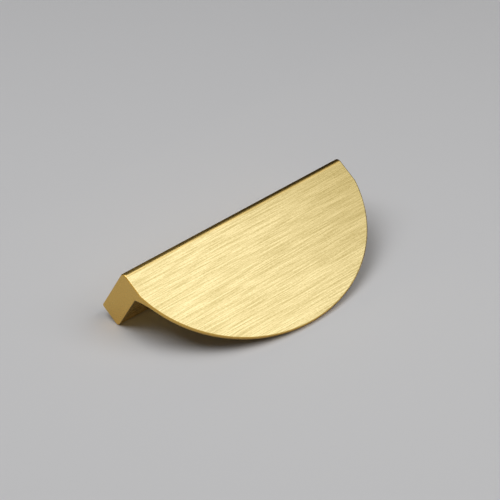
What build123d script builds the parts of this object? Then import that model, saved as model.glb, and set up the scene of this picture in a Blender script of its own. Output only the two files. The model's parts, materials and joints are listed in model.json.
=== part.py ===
from build123d import *
import math
import os

# Half moon cabinet pull: one solid of L-section, a thin half moon plate on a thick leg. Millimetres.
# X runs along the straight edge, Y = 0 is the mounting plane with the pull on its -Y side, Z is up.

# Overall form
LENGTH = 110.0        # straight edge, end to end
PROJECTION = 26.0     # mounting plane to the front face of the plate
DEPTH = 51.5          # straight edge to the tip of the half moon
LEG = 10.3            # thickness of the leg
PLATE = 1.9           # thickness of the plate at its rim

# Rim of the half moon: an ellipse, trimmed by the flat ends
END_RUN = 11.6        # run of each flat end, measured from the straight edge
RIM_CENTRE = 2.1      # centre of the ellipse, measured from the straight edge

# Root: the plate thickens towards the leg in a shallow hollow
ROOT_RUN = 8.2        # reach of the hollow, out from the leg
ROOT_RISE = 3.2       # extra thickness where the hollow meets the leg

# Rounded edges
RIDGE_R = 2.2         # straight edge, where the plate turns into the leg
ROOT_R = 0.5          # inner corner between the hollow and the leg
FOOT_OUTER_R = 0.9    # foot, on the side away from the plate's rim
FOOT_INNER_R = 1.6    # foot, on the side of the finger gap
EDGE_R = 0.5          # edge break round the rim and the flat ends

# Blind tapped holes in the foot, modelled at their tapping drill
HOLE_CENTRES = 96.0   # between the two holes, along the straight edge
HOLE_R = 1.65         # tapping drill of an M4 thread
HOLE_DEPTH = 12.0     # full bore, without the drill point
HOLE_MOUTH_R = 2.1    # countersunk mouth
DRILL_POINT = 118.0   # angle of the drill point, degrees

# Positions that follow from the sizes
front = -PROJECTION
back_of_plate = front + PLATE
top = LEG / 2
bottom_of_leg = -LEG / 2
root = back_of_plate + ROOT_RISE
root_start = bottom_of_leg - ROOT_RUN
past_tip = top - DEPTH - PLATE
rim_depth = DEPTH - RIM_CENTRE
rim_rise = (END_RUN - RIM_CENTRE) / rim_depth
rim_half_width = (LENGTH / 2) / math.sqrt(1 - rim_rise**2)
rim_angle = math.degrees(math.asin(rim_rise))


def section():
    """L-section in the Y-Z plane, with its rounded corners. The outline trims the plate to its depth."""
    with BuildSketch(Plane.YZ) as sketch:
        with BuildLine():
            TangentArc((back_of_plate, root_start), (root, bottom_of_leg), tangent=(0, 1))
            Polyline(
                (root, bottom_of_leg),
                (0, bottom_of_leg),
                (0, top),
                (front, top),
                (front, past_tip),
                (back_of_plate, past_tip),
                (back_of_plate, root_start),
            )
        make_face()
        for y, z, radius in (
            (front, top, RIDGE_R),
            (root, bottom_of_leg, ROOT_R),
            (0, top, FOOT_OUTER_R),
            (0, bottom_of_leg, FOOT_INNER_R),
        ):
            corner = sketch.vertices().sort_by_distance((y, z, 0))[0]
            fillet(corner, radius=radius)
    return sketch.sketch


def half_moon():
    """Prism along Y on the outline seen from the front: straight edge, flat ends and elliptical rim."""
    half = LENGTH / 2
    end_z = top - END_RUN
    with BuildSketch(Plane.XZ) as sketch:
        with BuildLine():
            EllipticalCenterArc(
                (0, top - RIM_CENTRE),
                rim_half_width,
                rim_depth,
                start_angle=180 + rim_angle,
                arc_size=180 - 2 * rim_angle,
            )
            Polyline((half, end_z), (half, top), (-half, top), (-half, end_z))
        make_face()
    return Pos(0, PLATE, 0) * extrude(sketch.sketch, amount=PROJECTION + 2 * PLATE)


def tapped_hole():
    """Blind bore with a drill point and a countersunk mouth, along Y from the mounting plane."""
    point = HOLE_R / math.tan(math.radians(DRILL_POINT / 2))
    mouth = HOLE_MOUTH_R - HOLE_R
    with BuildPart() as bore:
        with BuildSketch(Plane.XY):
            with BuildLine():
                Polyline(
                    (0, 0),
                    (HOLE_MOUTH_R, 0),
                    (HOLE_R, -mouth),
                    (HOLE_R, -HOLE_DEPTH),
                    (0, -HOLE_DEPTH - point),
                    close=True,
                )
            make_face()
        revolve(axis=Axis.Y)
    return bore.part


def outline_edges(body):
    """Edges of the two flat ends and of the rim."""
    ends = body.faces().filter_by(Plane.YZ)
    rim = body.faces().filter_by(GeomType.EXTRUSION)
    end_edges = ends.edges()
    return end_edges + rim.edges().filter_by(lambda edge: edge not in end_edges)


def pull():
    """The whole pull as one solid."""
    body = extrude(section(), amount=LENGTH / 2, both=True) & half_moon()
    body = fillet(outline_edges(body), radius=EDGE_R)
    for side in (-1, 1):
        body -= Pos(side * HOLE_CENTRES / 2, 0, 0) * tapped_hole()
    return body


os.makedirs("parts", exist_ok=True)
half_moon_pull = pull()
export_step(half_moon_pull, "parts/half_moon_pull.step")
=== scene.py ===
import json
import logging
import math
from dataclasses import dataclass, field
from enum import IntEnum

import bmesh
import bpy
from mathutils import Matrix, Vector

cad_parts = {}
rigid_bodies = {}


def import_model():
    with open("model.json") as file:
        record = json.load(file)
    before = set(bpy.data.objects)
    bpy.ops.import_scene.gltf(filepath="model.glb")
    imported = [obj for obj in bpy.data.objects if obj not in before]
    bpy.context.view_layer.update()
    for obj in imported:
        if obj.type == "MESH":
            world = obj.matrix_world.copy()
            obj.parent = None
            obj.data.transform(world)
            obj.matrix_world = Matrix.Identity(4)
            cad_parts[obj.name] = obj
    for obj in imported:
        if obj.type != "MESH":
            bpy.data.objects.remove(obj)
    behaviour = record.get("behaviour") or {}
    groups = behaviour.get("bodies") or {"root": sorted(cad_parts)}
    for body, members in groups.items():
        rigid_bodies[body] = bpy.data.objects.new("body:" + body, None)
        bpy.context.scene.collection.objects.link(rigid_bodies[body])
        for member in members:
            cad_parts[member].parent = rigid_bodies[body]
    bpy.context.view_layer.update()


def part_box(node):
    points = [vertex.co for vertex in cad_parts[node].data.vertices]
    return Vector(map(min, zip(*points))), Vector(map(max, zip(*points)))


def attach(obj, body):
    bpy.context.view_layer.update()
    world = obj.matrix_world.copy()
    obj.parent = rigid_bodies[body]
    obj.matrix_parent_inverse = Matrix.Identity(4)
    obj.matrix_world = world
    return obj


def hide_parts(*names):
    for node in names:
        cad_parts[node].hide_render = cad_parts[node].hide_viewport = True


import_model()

log = logging.getLogger("half_moon_pull")

NODE = "half_moon_pull"
MM = 0.001

# Two points closer than this are one, and a point this close to a cutting plane lies on it
SAME_PLACE = 1e-7
ON_PLANE = 1e-8

RGB = tuple[float, float, float]
Place = tuple[float, float, float]
Spot = tuple[float, float]
Ring = tuple[list[bmesh.types.BMVert], list[bmesh.types.BMEdge]]


class Surface(IntEnum):
    """Material slots of the pull's mesh."""

    FACE = 0
    BODY = 1
    CUT = 2
    BORE = 3


def rgba(colour: RGB) -> tuple[float, float, float, float]:
    """Return a linear colour with full alpha."""
    return (*colour, 1.0)


def link_object(name: str, bm: bmesh.types.BMesh) -> bpy.types.Object:
    """Turn a finished bmesh into an object of the scene.

    Args:
        name: Name of the object and of its mesh.
        bm: Mesh to keep. It is freed.

    Returns:
        The new object, at the origin.
    """
    mesh = bpy.data.meshes.new(name)
    bm.to_mesh(mesh)
    bm.free()
    obj = bpy.data.objects.new(name, mesh)
    bpy.context.scene.collection.objects.link(obj)
    return obj


def new_material(name: str) -> tuple[bpy.types.Material, bpy.types.Node]:
    """Make a material of nodes.

    Args:
        name: Name of the material.

    Returns:
        The material and its Principled BSDF.
    """
    mat = bpy.data.materials.new(name)
    mat.use_nodes = True
    return mat, mat.node_tree.nodes["Principled BSDF"]


def new_group(name: str, numbers: tuple[str, ...], output: str) -> bpy.types.NodeTree:
    """Make an empty shader group with a Vector input.

    Args:
        name: Name of the group.
        numbers: Names of its other inputs.
        output: Name of its one output.

    Returns:
        The group, with its sockets.
    """
    tree = bpy.data.node_groups.new(name, "ShaderNodeTree")
    tree.interface.new_socket("Vector", in_out="INPUT", socket_type="NodeSocketVector")
    for number in numbers:
        tree.interface.new_socket(number, in_out="INPUT", socket_type="NodeSocketFloat")
    tree.interface.new_socket(output, in_out="OUTPUT", socket_type="NodeSocketFloat")
    return tree


class NodeSheet:
    """Small helper that adds and links nodes in one tree."""

    def __init__(self, tree: bpy.types.NodeTree) -> None:
        """Keep the tree that the nodes go in."""
        self.tree = tree

    def add(self, kind: str, **values: object) -> bpy.types.Node:
        """Add a node.

        Args:
            kind: Node type, as Blender names it.
            values: Attributes of the node, or sockets by index as "i0", "i1" and so on.

        Returns:
            The new node.
        """
        node = self.tree.nodes.new(kind)
        for key, value in values.items():
            if key[0] == "i" and key[1:].isdigit():
                self.feed(value, node.inputs[int(key[1:])])
            else:
                setattr(node, key, value)
        return node

    def feed(self, value: object, socket: bpy.types.NodeSocket) -> None:
        """Link an output socket into an input, or set the input to a plain value.

        Args:
            value: Output socket, number, vector or colour.
            socket: Input to feed.
        """
        if isinstance(value, bpy.types.NodeSocket):
            self.tree.links.new(value, socket)
        else:
            socket.default_value = value

    def math(self, operation: str, first: object, second: object = 0.0) -> bpy.types.NodeSocket:
        """Return the output of a Math node on two values."""
        return self.add("ShaderNodeMath", operation=operation, i0=first, i1=second).outputs[0]

    def ramp(self, value: object, low: float, high: float, to_low: float = 0.0,
             to_high: float = 1.0) -> bpy.types.NodeSocket:
        """Return a value mapped from one range to another, clamped."""
        node = self.add("ShaderNodeMapRange", i0=value, i1=low, i2=high, i3=to_low, i4=to_high)
        return node.outputs[0]

    def blend(self, factor: object, first: object, second: object) -> bpy.types.NodeSocket:
        """Return a mix of two colours, which are inputs 6 and 7 and output 2 of a Mix node."""
        node = self.add("ShaderNodeMix", data_type="RGBA", i0=factor, i6=first, i7=second)
        return node.outputs[2]

    def bump(self, height: bpy.types.NodeSocket, strength: float, depth: float) -> bpy.types.NodeSocket:
        """Raise fine relief.

        Args:
            height: Height over the surface, from 0 to 1.
            strength: Strength of the relief.
            depth: Depth of the relief in metres.

        Returns:
            The normal of the surface with its relief.
        """
        node = self.add("ShaderNodeBump")
        node.inputs["Strength"].default_value = strength
        node.inputs["Distance"].default_value = depth
        self.feed(height, node.inputs["Height"])
        return node.outputs[0]

    def group(self, tree: bpy.types.NodeTree, **values: object) -> bpy.types.NodeSocket:
        """Add a group node.

        Args:
            tree: Node group to use.
            values: Input sockets of the group by name.

        Returns:
            The group's one output.
        """
        node = self.tree.nodes.new("ShaderNodeGroup")
        node.node_tree = tree
        for key, value in values.items():
            self.feed(value, node.inputs[key])
        return node.outputs[0]


@dataclass(frozen=True)
class StreakGroup:
    """Node group of grain drawn out along X, shared by every brushed finish."""

    name: str = "drawn_streaks"

    # Noise that shows as no streak, and as a full one
    noise_low: float = 0.38
    noise_high: float = 0.62

    def tree(self) -> bpy.types.NodeTree:
        """Return the group, made once.

        Returns:
            Group with Vector, Along and Across inputs and a Streak output from 0 to 1.
        """
        made = bpy.data.node_groups.get(self.name)
        if made:
            return made
        tree = new_group(self.name, ("Along", "Across"), "Streak")
        sheet = NodeSheet(tree)
        place, along, across = sheet.add("NodeGroupInput").outputs[:3]
        scale = sheet.add("ShaderNodeCombineXYZ", i0=along, i1=across, i2=across).outputs[0]
        drawn = sheet.add("ShaderNodeVectorMath", operation="MULTIPLY", i0=place, i1=scale).outputs[0]
        noise = sheet.add("ShaderNodeTexNoise", noise_dimensions="3D")
        sheet.feed(drawn, noise.inputs["Vector"])
        noise.inputs["Scale"].default_value = 1.0
        noise.inputs["Detail"].default_value = 0.0
        spread = sheet.ramp(noise.outputs[0], self.noise_low, self.noise_high)
        sheet.feed(spread, sheet.add("NodeGroupOutput").inputs[0])
        return tree


@dataclass(frozen=True)
class MottleGroup:
    """Node group of soft, slightly uneven tone, shared by every finish of the pull."""

    name: str = "soft_mottle"
    noise_middle: float = 0.5
    noise_detail: float = 3.0

    def tree(self) -> bpy.types.NodeTree:
        """Return the group, made once.

        Returns:
            Group with Vector, Scale and Amount inputs and a Tone output about 1.
        """
        made = bpy.data.node_groups.get(self.name)
        if made:
            return made
        tree = new_group(self.name, ("Scale", "Amount"), "Tone")
        sheet = NodeSheet(tree)
        place, scale, amount = sheet.add("NodeGroupInput").outputs[:3]
        noise = sheet.add("ShaderNodeTexNoise", noise_dimensions="3D")
        sheet.feed(place, noise.inputs["Vector"])
        sheet.feed(scale, noise.inputs["Scale"])
        noise.inputs["Detail"].default_value = self.noise_detail
        centred = sheet.math("SUBTRACT", noise.outputs[0], self.noise_middle)
        tone = sheet.math("ADD", sheet.math("MULTIPLY", centred, amount), 1.0)
        sheet.feed(tone, sheet.add("NodeGroupOutput").inputs[0])
        return tree


@dataclass(frozen=True)
class StreakLayer:
    """One layer of brushing: its cells to the metre along and across, and its share of the grain."""

    along: float
    across: float
    share: float

    def add_to(self, sheet: NodeSheet, place: bpy.types.NodeSocket) -> bpy.types.NodeSocket:
        """Return the layer's streaks times their share, as nodes of a material's sheet."""
        streak = sheet.group(StreakGroup().tree(), Vector=place, Along=self.along, Across=self.across)
        return sheet.math("MULTIPLY", streak, self.share)


@dataclass(frozen=True)
class BrushedBrass:
    """Brass brushed along X: fine streaks, a stretched highlight, and a straight edge in a deeper, warmer
    tone that is a painted reflection.
    """

    name: str
    pale: RGB
    deep: RGB
    # Painted reflection: pale and deep tones of the straight edge
    edge_reflection_pale: RGB
    edge_reflection_deep: RGB
    smooth: float
    rough: float
    edge_rough: float
    anisotropy: float
    relief: float

    # Layers of the brushing, from short specks to long lines, and a soft unevenness over them
    speck: StreakLayer = StreakLayer(900.0, 3000.0, 0.25)
    hair: StreakLayer = StreakLayer(90.0, 2800.0, 0.42)
    line: StreakLayer = StreakLayer(30.0, 2600.0, 0.33)
    mottle_scale: float = 45.0
    mottle: float = 0.05

    # Heights between which the flat's tone turns into the straight edge's tone, a painted reflection
    edge_starts: float = 2.4 * MM
    edge_full: float = 4.2 * MM

    # Turn of the stretched highlight, as a share of a full turn, and depth of the brushing
    highlight_turn: float = 0.25
    relief_depth: float = 0.02 * MM

    def material(self) -> bpy.types.Material:
        """Return the material.

        Returns:
            A metallic material with streaks in colour, roughness and relief, and a painted reflection as
            the straight edge's tone.
        """
        mat, bsdf = new_material(self.name)
        sheet = NodeSheet(mat.node_tree)
        place = sheet.add("ShaderNodeTexCoord").outputs["Object"]
        fine = sheet.math("ADD", self.speck.add_to(sheet, place), self.hair.add_to(sheet, place))
        grain = sheet.math("ADD", fine, self.line.add_to(sheet, place))
        tone = sheet.group(MottleGroup().tree(), Vector=place, Scale=self.mottle_scale, Amount=self.mottle)
        shade = sheet.math("MULTIPLY", grain, tone)
        height = sheet.add("ShaderNodeSeparateXYZ", i0=place).outputs[2]
        edge = sheet.ramp(height, self.edge_starts, self.edge_full)
        flat_tone = sheet.blend(shade, rgba(self.deep), rgba(self.pale))
        # Painted reflection: the straight edge takes a deeper, warmer tone that stands in for what the
        # ridge mirrors
        edge_reflection_tone = sheet.blend(shade, rgba(self.edge_reflection_deep), rgba(self.edge_reflection_pale))
        sheet.feed(sheet.blend(edge, flat_tone, edge_reflection_tone), bsdf.inputs["Base Color"])
        satin = sheet.ramp(grain, 0.0, 1.0, self.rough, self.smooth)
        rougher = sheet.math("MULTIPLY", edge, self.edge_rough)
        sheet.feed(sheet.math("ADD", satin, rougher), bsdf.inputs["Roughness"])
        bsdf.inputs["Metallic"].default_value = 1.0
        bsdf.inputs["Anisotropic"].default_value = self.anisotropy
        bsdf.inputs["Anisotropic Rotation"].default_value = self.highlight_turn
        sheet.feed(sheet.bump(fine, self.relief, self.relief_depth), bsdf.inputs["Normal"])
        return mat


@dataclass(frozen=True)
class SatinBrass:
    """Brass cut and linished: even satin with a trace of grain."""

    name: str
    pale: RGB
    deep: RGB
    roughness: float

    # Soft unevenness and fine grain, about a tone midway between the deep and the pale one
    mottle_scale: float = 160.0
    mottle: float = 0.5
    grain_scale: float = 2200.0
    grain: float = 0.7
    middle: float = 0.5
    relief: float = 0.15
    relief_depth: float = 0.01 * MM

    def material(self) -> bpy.types.Material:
        """Return the material.

        Returns:
            A metallic material with a faint mottle in colour, roughness and relief.
        """
        mat, bsdf = new_material(self.name)
        sheet = NodeSheet(mat.node_tree)
        place = sheet.add("ShaderNodeTexCoord").outputs["Object"]
        mottle = MottleGroup().tree()
        soft = sheet.group(mottle, Vector=place, Scale=self.mottle_scale, Amount=self.mottle)
        grain = sheet.group(mottle, Vector=place, Scale=self.grain_scale, Amount=self.grain)
        both = sheet.math("MULTIPLY", sheet.math("MULTIPLY", soft, grain), self.middle)
        sheet.feed(sheet.blend(both, rgba(self.deep), rgba(self.pale)), bsdf.inputs["Base Color"])
        sheet.feed(sheet.math("MULTIPLY", grain, self.roughness), bsdf.inputs["Roughness"])
        bsdf.inputs["Metallic"].default_value = 1.0
        sheet.feed(sheet.bump(grain, self.relief, self.relief_depth), bsdf.inputs["Normal"])
        return mat


@dataclass
class PullBody:
    """The one solid of the pull: half moon plate, hollow root, leg and drilled foot."""

    # Overall form: the first three sizes come from the frame
    length: float
    projection: float
    depth: float
    leg: float = 10.3 * MM
    plate: float = 1.9 * MM

    # Rim: the run of each flat end and the ellipse's centre, measured from the straight edge
    end_run: float = 11.6 * MM
    rim_centre: float = 2.1 * MM
    rim_cuts: int = 144

    # Root: the hollow's reach out from the leg, its extra thickness there and its inner corner
    root_run: float = 8.2 * MM
    root_rise: float = 3.2 * MM
    root_steps: int = 14
    root_corner: float = 0.4 * MM
    root_segments: int = 4

    # Rounded edges of the section, and the edge break round the rim and the ends
    ridge_r: float = 2.2 * MM
    ridge_segments: int = 16
    foot_outer_r: float = 0.9 * MM
    foot_outer_segments: int = 6
    foot_inner_r: float = 1.6 * MM
    foot_inner_segments: int = 8
    edge_r: float = 0.5 * MM
    edge_segments: int = 3

    # Holes: a mouth in a square patch of the foot, a bore that holds the thread, then the bare drill
    hole_centres: float = 96.0 * MM
    patch_margin: float = 0.2 * MM
    mouth_cuts: int = 11
    mouth_r: float = 2.1 * MM
    bore_r: float = 2.03 * MM
    thread_depth: float = 10.4 * MM
    step_run: float = 0.3 * MM
    drill_r: float = 1.65 * MM
    hole_depth: float = 12.0 * MM
    point_slope: float = 0.6
    point_r: float = 0.02 * MM

    # Normals: X of a flat end at least, Y of the brushed front at most, and how edges are shaded
    end_facing: float = 0.99
    front_facing: float = -0.02
    sharp_angle: float = math.radians(38)
    normal_weight: int = 80
    obj: bpy.types.Object | None = field(default=None, init=False)

    @property
    def rim_depth(self) -> float:
        """Return the half axis of the rim's ellipse along Z."""
        return self.depth - self.rim_centre

    @property
    def rim_rise(self) -> float:
        """Return how far the flat ends reach below the ellipse's centre, as a share of its half axis."""
        return (self.end_run - self.rim_centre) / self.rim_depth

    def round_corner(self, bm: bmesh.types.BMesh, y: float, z: float, run: float, segments: int) -> None:
        """Round one corner of the flat section.

        Args:
            bm: Mesh that holds the section.
            y: Corner's place along Y.
            z: Corner's place along Z.
            run: Run of the rounding along each side, which is its radius at a square corner.
            segments: Segments of the arc.
        """
        corner = min(bm.verts, key=lambda v: (v.co.y - y) ** 2 + (v.co.z - z) ** 2)
        bmesh.ops.bevel(bm, geom=[corner], offset=run, offset_type="OFFSET", segments=segments,
                        profile=0.5, affect="VERTICES", material=-1)

    def section(self, bm: bmesh.types.BMesh) -> bmesh.types.BMFace:
        """Draw the L-section at the left end.

        Args:
            bm: Mesh to draw in.

        Returns:
            The section's face.
        """
        x = -self.length / 2
        front = -self.projection
        back = front + self.plate
        top = self.leg / 2
        under = -self.leg / 2
        start = under - self.root_run
        past_tip = top - self.depth - self.plate
        radius = (self.root_run**2 + self.root_rise**2) / (2 * self.root_rise)
        sweep = math.atan2(self.root_run, radius - self.root_rise)
        first = bm.verts.new((x, back, start))
        hollow = bmesh.ops.spin(bm, geom=[first], cent=(x, back + radius, start), axis=(1, 0, 0),
                                angle=-sweep, steps=self.root_steps)
        last = next(v for v in hollow["geom_last"] if isinstance(v, bmesh.types.BMVert))
        corners = [(0.0, under), (0.0, top), (front, top), (front, past_tip), (back, past_tip)]
        chain = [last] + [bm.verts.new((x, y, z)) for y, z in corners] + [first]
        for one, two in zip(chain, chain[1:]):
            bm.edges.new((one, two))
        bmesh.ops.contextual_create(bm, geom=list(bm.edges))
        self.round_corner(bm, front, top, self.ridge_r, self.ridge_segments)
        self.round_corner(bm, back + self.root_rise, under, self.root_corner, self.root_segments)
        self.round_corner(bm, 0.0, top, self.foot_outer_r, self.foot_outer_segments)
        self.round_corner(bm, 0.0, under, self.foot_inner_r, self.foot_inner_segments)
        bm.faces.ensure_lookup_table()
        return bm.faces[0]

    def extrude_bar(self, bm: bmesh.types.BMesh) -> None:
        """Draw the section out along X, and mark the bar's ends and sides by their slots.

        Args:
            bm: Empty mesh to draw in.
        """
        grown = bmesh.ops.extrude_face_region(bm, geom=[self.section(bm)])["geom"]
        far_end = [v for v in grown if isinstance(v, bmesh.types.BMVert)]
        bmesh.ops.translate(bm, vec=(self.length, 0.0, 0.0), verts=far_end)
        bmesh.ops.recalc_face_normals(bm, faces=bm.faces)
        for f in bm.faces:
            f.material_index = int(Surface.CUT if abs(f.normal.x) > self.end_facing else Surface.BODY)

    def rim_point(self, turn: float) -> Vector:
        """Work out a point of the elliptical rim.

        Args:
            turn: Turn from the tip, in radians.

        Returns:
            The point, in the plane of Y = 0.
        """
        half_width = (self.length / 2) / math.sqrt(1 - self.rim_rise**2)
        centre_z = self.leg / 2 - self.rim_centre
        return Vector((half_width * math.sin(turn), 0.0, centre_z - self.rim_depth * math.cos(turn)))

    def trim_rim(self, bm: bmesh.types.BMesh) -> None:
        """Cut the plate back to the half moon, one short chord at a time.

        Args:
            bm: Mesh of the plain bar of L-section.
        """
        reach = math.pi / 2 - math.asin(self.rim_rise)
        turns = [reach * (2 * i / self.rim_cuts - 1) for i in range(self.rim_cuts + 1)]
        for one, two in zip(turns, turns[1:]):
            start = self.rim_point(one)
            run = self.rim_point(two) - start
            outward = Vector((run.z, 0.0, -run.x)).normalized()
            whole = [*bm.verts, *bm.edges, *bm.faces]
            cut = bmesh.ops.bisect_plane(bm, geom=whole, dist=ON_PLANE, plane_co=start, plane_no=outward,
                                         clear_outer=True)
            edges = [e for e in cut["geom_cut"] if isinstance(e, bmesh.types.BMEdge)]
            bmesh.ops.edgeloop_fill(bm, edges=edges, mat_nr=int(Surface.CUT))

    def break_edges(self, bm: bmesh.types.BMesh) -> None:
        """Break the edges round the rim and the flat ends, and keep the ends to the pull's length.

        Args:
            bm: Mesh with its cut faces marked by their slot.
        """
        cut = int(Surface.CUT)
        edges = [e for e in bm.edges if len({f.material_index == cut for f in e.link_faces}) == 2]
        bmesh.ops.bevel(bm, geom=edges, offset=self.edge_r, offset_type="OFFSET", profile=0.5,
                        segments=self.edge_segments, affect="EDGES", clamp_overlap=False, material=-1)
        end = self.length / 2
        for v in bm.verts:
            v.co.x = max(-end, min(end, v.co.x))

    def foot_at(self, bm: bmesh.types.BMesh, spot: Vector) -> bmesh.types.BMFace:
        """Find the foot's face round a spot.

        Args:
            bm: Mesh of the solid pull.
            spot: Spot in the mounting plane, halfway up the leg.

        Returns:
            The face that the spot lies in.
        """
        inside = []
        for f in bm.faces:
            if all(abs(v.co.y) < SAME_PLACE for v in f.verts):
                xs = [v.co.x for v in f.verts]
                zs = [v.co.z for v in f.verts]
                if min(xs) < spot.x < max(xs) and min(zs) < spot.z < max(zs):
                    inside.append(f)
        return min(inside, key=lambda f: (f.calc_center_bounds() - spot).length)

    def grow_ring(self, bm: bmesh.types.BMesh, loop: list[bmesh.types.BMEdge]) -> Ring:
        """Extrude a closed ring of edges.

        Args:
            bm: Mesh that holds the ring.
            loop: Edges of the ring.

        Returns:
            Vertices and edges of the new ring, still in the place of the old one.
        """
        grown = bmesh.ops.extrude_edge_only(bm, edges=loop)["geom"]
        verts = [v for v in grown if isinstance(v, bmesh.types.BMVert)]
        edges = [e for e in grown if isinstance(e, bmesh.types.BMEdge)]
        return verts, [e for e in edges if all(v in verts for v in e.verts)]

    def open_mouth(self, bm: bmesh.types.BMesh, centre: Vector) -> list[bmesh.types.BMEdge]:
        """Cut a square patch out of the foot, and draw its border in to the mouth of a hole.

        Args:
            bm: Mesh of the solid pull.
            centre: Centre of the mouth.

        Returns:
            Edges of the round mouth.
        """
        half = self.leg / 2 - self.foot_inner_r - self.patch_margin
        for axis in (Vector((1.0, 0.0, 0.0)), Vector((0.0, 0.0, 1.0))):
            for side in (-half, half):
                foot = self.foot_at(bm, centre)
                bmesh.ops.bisect_plane(bm, geom=[foot, *foot.edges, *foot.verts], dist=ON_PLANE,
                                       plane_co=centre + axis * side, plane_no=axis)
        patch = self.foot_at(bm, centre)
        bmesh.ops.subdivide_edges(bm, edges=list(patch.edges), cuts=self.mouth_cuts)
        patch = self.foot_at(bm, centre)
        border = list(patch.edges)
        bmesh.ops.delete(bm, geom=[patch], context="FACES_ONLY")
        verts, mouth = self.grow_ring(bm, border)
        for v in verts:
            v.co = centre + (v.co - centre).normalized() * self.mouth_r
        return mouth

    def drill(self, bm: bmesh.types.BMesh, x: float) -> None:
        """Sink one blind hole in the foot.

        Args:
            bm: Mesh of the solid pull.
            x: Place of the hole along X.
        """
        loop = self.open_mouth(bm, Vector((x, 0.0, 0.0)))
        before = set(bm.faces)
        steps = (
            (self.bore_r, self.mouth_r - self.bore_r),
            (self.bore_r, self.thread_depth),
            (self.drill_r, self.thread_depth + self.step_run),
            (self.drill_r, self.hole_depth),
            (self.point_r, self.hole_depth + self.drill_r * self.point_slope),
        )
        about_hole = Matrix.Translation((-x, 0.0, 0.0))
        radius, depth = self.mouth_r, 0.0
        for to_radius, to_depth in steps:
            verts, loop = self.grow_ring(bm, loop)
            ratio = to_radius / radius
            bmesh.ops.scale(bm, vec=(ratio, 1.0, ratio), space=about_hole, verts=verts)
            bmesh.ops.translate(bm, vec=(0.0, depth - to_depth, 0.0), verts=verts)
            radius, depth = to_radius, to_depth
        bmesh.ops.pointmerge(bm, verts=verts, merge_co=(x, -depth, 0.0))
        for f in bm.faces:
            if f not in before:
                f.material_index = int(Surface.BORE)

    def even_normals(self) -> None:
        """Weight the normals by the faces' areas, so that flats stay flat beside rounded edges."""
        self.obj.data.set_sharp_from_angle(angle=self.sharp_angle)
        weigh = self.obj.modifiers.new("even_normals", "WEIGHTED_NORMAL")
        weigh.mode = "FACE_AREA"
        weigh.weight = self.normal_weight
        weigh.keep_sharp = True
        plain = self.obj.data
        graph = bpy.context.evaluated_depsgraph_get()
        self.obj.data = bpy.data.meshes.new_from_object(self.obj.evaluated_get(graph))
        self.obj.modifiers.clear()
        bpy.data.meshes.remove(plain)

    def build(self) -> bpy.types.Object:
        """Model the pull.

        Returns:
            The object that stands in for the frame's solid.
        """
        bm = bmesh.new()
        self.extrude_bar(bm)
        self.trim_rim(bm)
        bmesh.ops.remove_doubles(bm, verts=bm.verts, dist=SAME_PLACE)
        bmesh.ops.recalc_face_normals(bm, faces=bm.faces)
        self.break_edges(bm)
        bm.normal_update()
        for f in bm.faces:
            if f.normal.y < self.front_facing and f.material_index == int(Surface.BODY):
                f.material_index = int(Surface.FACE)
        for side in (-1, 1):
            self.drill(bm, side * self.hole_centres / 2)
        bmesh.ops.recalc_face_normals(bm, faces=bm.faces)
        for f in bm.faces:
            f.smooth = True
        self.obj = link_object("pull_body", bm)
        self.even_normals()
        log.info("pull_body: %d faces", len(self.obj.data.polygons))
        return self.obj

    def dress(self, finishes: dict[Surface, bpy.types.Material]) -> None:
        """Give the pull its finishes, one for each slot.

        Args:
            finishes: Material of each slot.
        """
        for surface in Surface:
            self.obj.data.materials.append(finishes[surface])
        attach(self.obj, "root")
        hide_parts(NODE)


@dataclass
class ScrewThread:
    """Thread that lines one blind hole of the foot. Its crest and root are shares of the pitch."""

    name: str
    x: float
    pitch: float = 0.7 * MM
    minor_r: float = 1.65 * MM
    major_r: float = 2.0 * MM
    crest: float = 0.25
    root: float = 0.125
    start: float = 0.25 * MM
    turns: int = 14
    steps: int = 36
    seam: float = 0.001 * MM
    sharp_angle: float = math.radians(35)
    obj: bpy.types.Object | None = field(default=None, init=False)

    def build(self) -> bpy.types.Object:
        """Model the thread as one profile wound down the hole.

        Returns:
            The thread's object.
        """
        bm = bmesh.new()
        flank = (1.0 - self.crest - self.root) / 2
        profile = (
            (0.0, self.minor_r),
            (self.crest, self.minor_r),
            (self.crest + flank, self.major_r),
            (self.crest + flank + self.root, self.major_r),
            (1.0, self.minor_r),
        )
        verts = [bm.verts.new((self.x + r, -self.start - d * self.pitch, 0.0)) for d, r in profile]
        edges = [bm.edges.new(pair) for pair in zip(verts, verts[1:])]
        bmesh.ops.spin(bm, geom=verts + edges, cent=(self.x, 0.0, 0.0), axis=(0.0, 1.0, 0.0),
                       dvec=(0.0, -self.pitch / self.steps, 0.0), angle=2 * math.pi * self.turns,
                       steps=self.turns * self.steps)
        bmesh.ops.remove_doubles(bm, verts=bm.verts, dist=self.seam)
        for f in bm.faces:
            f.smooth = True
        self.obj = link_object(self.name, bm)
        self.obj.data.set_sharp_from_angle(angle=self.sharp_angle)
        log.info("%s: %d faces", self.name, len(self.obj.data.polygons))
        return self.obj

    def dress(self, finish: bpy.types.Material) -> None:
        """Give the thread its finish.

        Args:
            finish: Material of the thread.
        """
        self.obj.data.materials.append(finish)
        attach(self.obj, "root")


@dataclass(frozen=True)
class Ground:
    """Lie of the table that carries the pull, turned about X in the part's own axes."""

    tilt: float = math.radians(60.2721)
    drop: float = 1.98 * MM

    @property
    def along(self) -> Vector:
        """Return the direction along the table that the straight edge has."""
        return Vector((1.0, 0.0, 0.0))

    @property
    def back(self) -> Vector:
        """Return the direction along the table, square to the straight edge and away from the rim."""
        return Vector((0.0, math.cos(self.tilt), math.sin(self.tilt)))

    @property
    def up(self) -> Vector:
        """Return the direction up from the table."""
        return Vector((0.0, -math.sin(self.tilt), math.cos(self.tilt)))

    def place(self, along: float, back: float, up: float) -> Vector:
        """Return a place along the table's axes, measured from the table under the part's origin."""
        return self.along * along + self.back * back + self.up * (up - self.drop)


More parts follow.
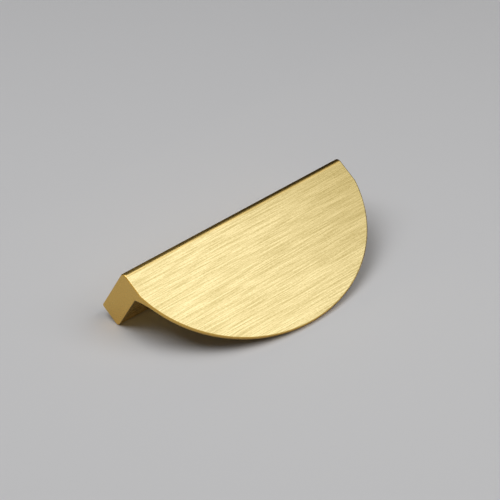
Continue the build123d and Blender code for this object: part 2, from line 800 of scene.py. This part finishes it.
@dataclass(frozen=True)
class Table:
    """Pale round table, seen from above only and faded out at its edge."""

    ground: Ground
    radius: float = 0.42
    segments: int = 96
    tone: RGB = (0.62, 0.62, 0.63)
    roughness: float = 0.75
    shine: float = 0.2

    # Shares of the radius between which the table fades out
    fade_from: float = 0.7
    fade_to: float = 0.98

    def build(self) -> bpy.types.Object:
        """Make the table's top.

        Returns:
            The table's object.
        """
        bm = bmesh.new()
        turn = Matrix((self.ground.along, self.ground.back, self.ground.up)).transposed().to_4x4()
        spot = Matrix.Translation(self.ground.place(0.0, 0.0, 0.0)) @ turn
        bmesh.ops.create_circle(bm, cap_ends=True, radius=self.radius, segments=self.segments, matrix=spot)
        table = link_object("table", bm)
        table.data.materials.append(self.material())
        return table

    def material(self) -> bpy.types.Material:
        """Make the table's finish.

        Returns:
            A pale satin material that is clear from below and past the table's edge.
        """
        mat, bsdf = new_material("table_pale")
        sheet = NodeSheet(mat.node_tree)
        bsdf.inputs["Base Color"].default_value = rgba(self.tone)
        bsdf.inputs["Roughness"].default_value = self.roughness
        bsdf.inputs["Specular IOR Level"].default_value = self.shine
        place = sheet.add("ShaderNodeTexCoord").outputs["Object"]
        length = sheet.add("ShaderNodeVectorMath", operation="LENGTH", i0=place).outputs["Value"]
        fade = sheet.ramp(length, self.radius * self.fade_from, self.radius * self.fade_to)
        below = sheet.add("ShaderNodeNewGeometry").outputs["Backfacing"]
        depth = sheet.add("ShaderNodeLightPath").outputs["Transparent Depth"]
        passed = sheet.math("GREATER_THAN", depth, 0.5)
        hidden = sheet.math("MAXIMUM", fade, sheet.math("MAXIMUM", below, passed))
        clear = sheet.add("ShaderNodeBsdfTransparent").outputs[0]
        mix = sheet.add("ShaderNodeMixShader", i0=hidden, i1=bsdf.outputs[0], i2=clear)
        sheet.feed(mix.outputs[0], mat.node_tree.nodes["Material Output"].inputs["Surface"])
        return mat


@dataclass(frozen=True)
class Softbox:
    """Soft rectangular lamp. Its places are along, back and up on the table, in metres."""

    name: str
    at: Place
    size: Spot

    # Brightness of its surface, where 1 shows as white
    glow: float

    # Place it points at, by default the middle of the pull, and its turn about that beam in degrees
    aim: Place = (0.0, -0.0238, 0.0034)
    twist: float = 0.0
    mirrored: bool = True

    def build(self, ground: Ground) -> bpy.types.Object:
        """Hang the lamp, its width along the pull before it is twisted about its beam.

        Args:
            ground: Lie of the table.

        Returns:
            The lamp's object.
        """
        at = ground.place(*self.at)
        lamp = bpy.data.lights.new(self.name, "AREA")
        lamp.shape = "RECTANGLE"
        lamp.size, lamp.size_y = self.size
        lamp.energy = self.glow * math.pi * self.size[0] * self.size[1]
        obj = bpy.data.objects.new(self.name, lamp)
        away = (at - ground.place(*self.aim)).normalized()
        side = (ground.along - away * away.dot(ground.along)).normalized()
        turn = Matrix((side, away.cross(side), away)).transposed().to_4x4()
        twist = Matrix.Rotation(math.radians(self.twist), 4, "Z")
        obj.matrix_world = Matrix.Translation(at) @ turn @ twist
        bpy.context.scene.collection.objects.link(obj)
        obj.visible_camera = False
        obj.visible_glossy = self.mirrored
        return obj


@dataclass(frozen=True)
class DarkCards:
    """Dark cards that the straight edge and the rim mirror. Corners are back and up on the table."""

    ground: Ground
    strip: tuple[Spot, ...] = ((0.07, 0.002), (0.50, 0.002), (0.10, 0.64))
    strip_start: float = -0.30
    strip_length: float = 1.30
    side: tuple[Spot, ...] = ((-0.55, 0.002), (0.50, 0.002), (0.50, 0.68), (-0.55, 0.68))
    side_along: float = 0.90
    tone: RGB = (0.01, 0.01, 0.01)
    roughness: float = 0.9

    def build(self) -> bpy.types.Object:
        """Stand a bent strip behind the pull and a flat card beside it.

        Returns:
            The object of both cards.
        """
        bm = bmesh.new()
        near = [bm.verts.new(self.ground.place(self.strip_start, *corner)) for corner in self.strip]
        edges = [bm.edges.new(pair) for pair in zip(near, near[1:])]
        grown = bmesh.ops.extrude_edge_only(bm, edges=edges)["geom"]
        far = [v for v in grown if isinstance(v, bmesh.types.BMVert)]
        bmesh.ops.translate(bm, vec=self.ground.along * self.strip_length, verts=far)
        bm.faces.new([bm.verts.new(self.ground.place(self.side_along, *corner)) for corner in self.side])
        cards = link_object("dark_card", bm)
        mat, bsdf = new_material("dark_card")
        bsdf.inputs["Base Color"].default_value = rgba(self.tone)
        bsdf.inputs["Roughness"].default_value = self.roughness
        bsdf.inputs["Specular IOR Level"].default_value = 0.0
        cards.data.materials.append(mat)
        cards.visible_camera = False
        cards.visible_diffuse = False
        cards.visible_shadow = False
        return cards


@dataclass(frozen=True)
class EvenWorld:
    """Plain, even world: one tone where it is seen or mirrored, and a weak light on the rest."""

    tone: RGB = (0.64, 0.54, 0.32)
    light: RGB = (0.06, 0.06, 0.06)

    def build(self) -> bpy.types.World:
        """Set the world.

        Returns:
            The scene's world.
        """
        world = bpy.data.worlds.new("studio")
        world.use_nodes = True
        sheet = NodeSheet(world.node_tree)
        path = sheet.add("ShaderNodeLightPath").outputs
        seen = sheet.math("MAXIMUM", path["Is Camera Ray"], path["Is Glossy Ray"])
        seen = sheet.math("MAXIMUM", seen, path["Is Transmission Ray"])
        tone = sheet.blend(seen, rgba(self.light), rgba(self.tone))
        sheet.feed(tone, world.node_tree.nodes["Background"].inputs[0])
        bpy.context.scene.world = world
        return world


@dataclass(frozen=True)
class Viewpoint:
    """Camera of the photograph: its place and axes in the part's frame, its lens in millimetres."""

    at: Place = (-474.49 * MM, -731.31 * MM, -196.20 * MM)
    right: Place = (0.73593, -0.33609, -0.58775)
    down: Place = (-0.40593, 0.47575, -0.78031)
    forward: Place = (0.54187, 0.81284, 0.21369)
    lens: float = 166.3
    sensor: float = 36.0

    def build(self) -> bpy.types.Object:
        """Set the camera.

        Returns:
            The camera's object.
        """
        camera = bpy.data.cameras.new("camera")
        camera.sensor_fit = "HORIZONTAL"
        camera.sensor_width = self.sensor
        camera.lens = self.lens
        obj = bpy.data.objects.new("camera", camera)
        axes = (Vector(self.right), -Vector(self.down), -Vector(self.forward))
        obj.matrix_world = Matrix.Translation(Vector(self.at)) @ Matrix(axes).transposed().to_4x4()
        bpy.context.scene.collection.objects.link(obj)
        bpy.context.scene.camera = obj
        return obj


@dataclass(frozen=True)
class Studio:
    """Table, dark cards, lamps, world and camera: the plate mirrors the first lamp."""

    ground: Ground = Ground()
    lamps: tuple[Softbox, ...] = (
        Softbox("softbox", at=(0.193, -0.279, 0.62), size=(0.54, 0.60), glow=0.69,
                aim=(0.193, -0.279, 0.0), twist=37.0),
        Softbox("overhead", at=(-0.241, 0.181, 0.75), size=(0.60, 0.60), glow=3.4),
        Softbox("fill", at=(0.23, -0.415, 0.60), size=(0.50, 0.50), glow=1.8, mirrored=False),
        Softbox("behind", at=(0.60, 0.06, -0.6), size=(0.80, 0.80), glow=0.85),
    )

    def build(self) -> None:
        """Set up the whole studio, seen with the plain view transform."""
        Table(self.ground).build()
        DarkCards(self.ground).build()
        for lamp in self.lamps:
            lamp.build(self.ground)
        EvenWorld().build()
        Viewpoint().build()
        bpy.context.scene.view_settings.view_transform = "Standard"
        log.info("studio: table, dark cards, %d lamps, world and camera", len(self.lamps))


def finishes() -> dict[Surface, bpy.types.Material]:
    """Make the finishes of the pull.

    Returns:
        One material for each slot of the pull's mesh.
    """
    gold, old_gold = (0.94, 0.855, 0.56), (0.645, 0.565, 0.30)
    # Painted reflection: the face's straight edge turns to these warmer, deeper tones, for the warm
    # reflection along the ridge
    ridge_reflection, deep_ridge_reflection = (1.0, 0.69, 0.20), (0.63, 0.42, 0.10)
    amber, old_amber = (0.85, 0.64, 0.27), (0.65, 0.465, 0.175)
    face = BrushedBrass("brass_brushed_face", gold, old_gold, ridge_reflection, deep_ridge_reflection, smooth=0.20,
                        rough=0.29, edge_rough=0.1, anisotropy=0.3, relief=0.25)
    body = BrushedBrass("brass_brushed_body", amber, old_amber, amber, old_amber, smooth=0.22,
                        rough=0.30, edge_rough=0.0, anisotropy=0.4, relief=0.15)
    cut = SatinBrass("brass_satin_cut", pale=(0.78, 0.52, 0.14), deep=(0.68, 0.42, 0.09), roughness=0.30)
    bore = SatinBrass("brass_bare_bore", pale=(0.86, 0.64, 0.28), deep=(0.70, 0.48, 0.18), roughness=0.26)
    return {
        Surface.FACE: face.material(),
        Surface.BODY: body.material(),
        Surface.CUT: cut.material(),
        Surface.BORE: bore.material(),
    }


def main() -> None:
    """Build the pull from the sizes of the frame's box, then its threads and the studio."""
    logging.basicConfig(level=logging.INFO, format="%(name)s: %(message)s")
    low, high = (Vector(corner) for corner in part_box(NODE))
    pull = PullBody(length=high.x - low.x, projection=high.y - low.y, depth=high.z - low.z)
    made = finishes()
    pull.build()
    pull.dress(made)
    for name, side in (("thread_left", -1), ("thread_right", 1)):
        thread = ScrewThread(name, side * pull.hole_centres / 2)
        thread.build()
        thread.dress(made[Surface.BORE])
    Studio().build()


if __name__ == "__main__":
    main()
